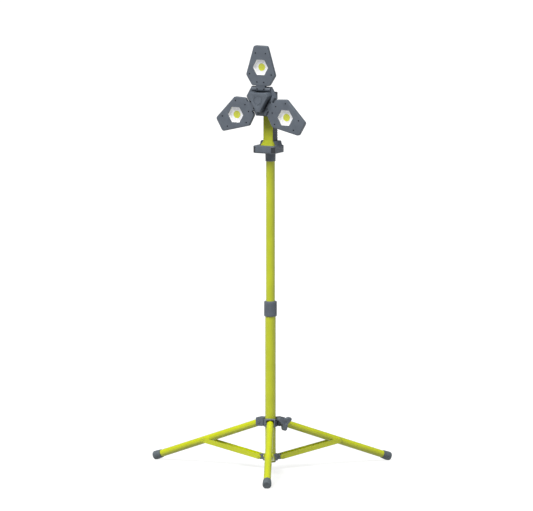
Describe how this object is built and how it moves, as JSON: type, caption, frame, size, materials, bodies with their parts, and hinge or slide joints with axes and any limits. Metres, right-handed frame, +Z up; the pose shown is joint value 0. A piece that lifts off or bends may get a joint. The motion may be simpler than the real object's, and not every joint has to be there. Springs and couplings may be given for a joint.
{
  "type": "tripod work light",
  "caption": "Free-standing work light: folding tripod, telescopic mast, and a lamp head with tilting light panels round a hub with a push button.",
  "frame": {"origin": "mast axis at floor level", "axes": "+Z up along the mast, -Y towards the front leg, +X to the right of someone facing the front leg"},
  "size_m": [0.7268, 0.6325, 1.292],
  "materials": {
    "painted_tube": "gloss powder coat",
    "lime_plastic": "satin moulded",
    "grey_plastic": "fine moulded grain",
    "grip_plastic": "soft touch",
    "foot_rubber": "matte",
    "dark_plastic": "moulded",
    "steel": "zinc plated",
    "blackened_steel": "black oxide",
    "brass": "turned",
    "cell_wrap": "wrapped cell",
    "circuit_board": "lacquered board",
    "reflector_white": "satin white",
    "led_phosphor": "yellow phosphor",
    "clear_lens": "clear polycarbonate"
  },
  "bodies": {
    "stand": {"lower_mast": "painted_tube", "mast_plug": "dark_plastic", "lower_ring": "grey_plastic", "ring_pins": "steel", "clamp_body": "dark_plastic"},
    "leg_collar": {"leg_collar": "grey_plastic", "leg_pins": "steel", "clamp_screw": "steel"},
    "clamp_knob": {"clamp_knob": "grey_plastic", "knob_nut": "brass"},
    "leg_front": {"leg_front": "painted_tube", "foot_front": "foot_rubber"},
    "leg_left": {"leg_left": "painted_tube", "foot_left": "foot_rubber"},
    "leg_right": {"leg_right": "painted_tube", "foot_right": "foot_rubber"},
    "strut_front": {"strut_front": "painted_tube", "rivets_front": "steel"},
    "strut_left": {"strut_left": "painted_tube", "rivets_left": "steel"},
    "strut_right": {"strut_right": "painted_tube", "rivets_right": "steel"},
    "twist_collar": {"twist_collar": "grey_plastic"},
    "mast": {"upper_mast": "painted_tube", "mast_bush": "dark_plastic", "mast_spigot": "steel", "socket_collar": "grey_plastic"},
    "lamp": {"base_tray": "grey_plastic", "base_cover": "grey_plastic", "port_cover": "grey_plastic", "charge_board": "circuit_board", "neck_front": "lime_plastic", "neck_grip": "grip_plastic", "neck_screws": "steel", "battery_cells": "cell_wrap", "hub_housing": "grey_plastic", "hub_cover": "grey_plastic", "hub_screws": "steel", "driver_board": "circuit_board", "mode_switch": "dark_plastic", "hinge_pins": "steel"},
    "mode_button": {"mode_button": "grey_plastic"},
    "panel_top": {"panel_front_top": "grey_plastic", "panel_back_top": "grey_plastic", "reflector_top": "reflector_white", "led_top": "led_phosphor", "lens_top": "clear_lens", "screws_top": "blackened_steel"},
    "panel_left": {"panel_front_left": "grey_plastic", "panel_back_left": "grey_plastic", "reflector_left": "reflector_white", "led_left": "led_phosphor", "lens_left": "clear_lens", "screws_left": "blackened_steel"},
    "panel_right": {"panel_front_right": "grey_plastic", "panel_back_right": "grey_plastic", "reflector_right": "reflector_white", "led_right": "led_phosphor", "lens_right": "clear_lens", "screws_right": "blackened_steel"}
  },
  "joints": [
    {"name": "collar_slide", "type": "slide", "parent": "stand", "child": "leg_collar", "axis": [0, 0, 1], "range_m": [0, 0.3043]},
    {"name": "leg_front_hinge", "type": "hinge", "parent": "leg_collar", "child": "leg_front", "pos_m": [0, -0.033, 0.143], "axis": [1, 0, 0], "range_deg": [0, 65]},
    {"name": "leg_left_hinge", "type": "hinge", "parent": "leg_collar", "child": "leg_left", "pos_m": [-0.02858, 0.0165, 0.143], "axis": [-0.5, -0.866, 0], "range_deg": [0, 65]},
    {"name": "leg_right_hinge", "type": "hinge", "parent": "leg_collar", "child": "leg_right", "pos_m": [0.02858, 0.0165, 0.143], "axis": [-0.5, 0.866, 0], "range_deg": [0, 65]},
    {"name": "strut_front_hinge", "type": "hinge", "parent": "stand", "child": "strut_front", "pos_m": [0, -0.035, 0.0371], "axis": [-1, 0, 0], "range_deg": [0, 74.23]},
    {"name": "strut_left_hinge", "type": "hinge", "parent": "stand", "child": "strut_left", "pos_m": [-0.03031, 0.0175, 0.0371], "axis": [0.5, 0.866, 0], "range_deg": [0, 74.23]},
    {"name": "strut_right_hinge", "type": "hinge", "parent": "stand", "child": "strut_right", "pos_m": [0.03031, 0.0175, 0.0371], "axis": [0.5, -0.866, 0], "range_deg": [0, 74.23]},
    {"name": "knob_turn", "type": "hinge", "parent": "leg_collar", "child": "clamp_knob", "pos_m": [0.02858, 0.0165, 0.143], "axis": [0.5, -0.866, 0], "continuous": true},
    {"name": "twist_turn", "type": "hinge", "parent": "stand", "child": "twist_collar", "pos_m": [0, 0, 0.488], "axis": [0, 0, 1], "range_deg": [0, 120]},
    {"name": "mast_slide", "type": "slide", "parent": "stand", "child": "mast", "axis": [0, 0, 1], "range_m": [-0.375, 0.03]},
    {"name": "head_swivel", "type": "hinge", "parent": "mast", "child": "lamp", "pos_m": [0, 0, 0.97], "axis": [0, 0, 1], "continuous": true},
    {"name": "button_press", "type": "slide", "parent": "lamp", "child": "mode_button", "axis": [0.4617, 0.887, 0], "range_m": [0, 0.0015], "stiffness_N_per_m": 400, "springref_m": -0.0012},
    {"name": "panel_top_tilt", "type": "hinge", "parent": "lamp", "child": "panel_top", "pos_m": [-0.02613, -0.0502, 1.1602], "axis": [0.887, -0.4617, 0], "range_deg": [-15, 85]},
    {"name": "panel_left_tilt", "type": "hinge", "parent": "lamp", "child": "panel_left", "pos_m": [-0.05087, -0.03733, 1.1119], "axis": [-0.4435, 0.2309, 0.866], "range_deg": [-15, 85]},
    {"name": "panel_right_tilt", "type": "hinge", "parent": "lamp", "child": "panel_right", "pos_m": [-0.0014, -0.06308, 1.1119], "axis": [-0.4435, 0.2309, -0.866], "range_deg": [-15, 85]}
  ],
  "couplings": [
    {"joint": "leg_front_hinge", "follows": "collar_slide", "rad_per_m": 3.7113},
    {"joint": "leg_left_hinge", "follows": "collar_slide", "rad_per_m": 3.7113},
    {"joint": "leg_right_hinge", "follows": "collar_slide", "rad_per_m": 3.7113},
    {"joint": "strut_front_hinge", "follows": "collar_slide", "rad_per_m": 4.2407},
    {"joint": "strut_left_hinge", "follows": "collar_slide", "rad_per_m": 4.2407},
    {"joint": "strut_right_hinge", "follows": "collar_slide", "rad_per_m": 4.2407}
  ]
}
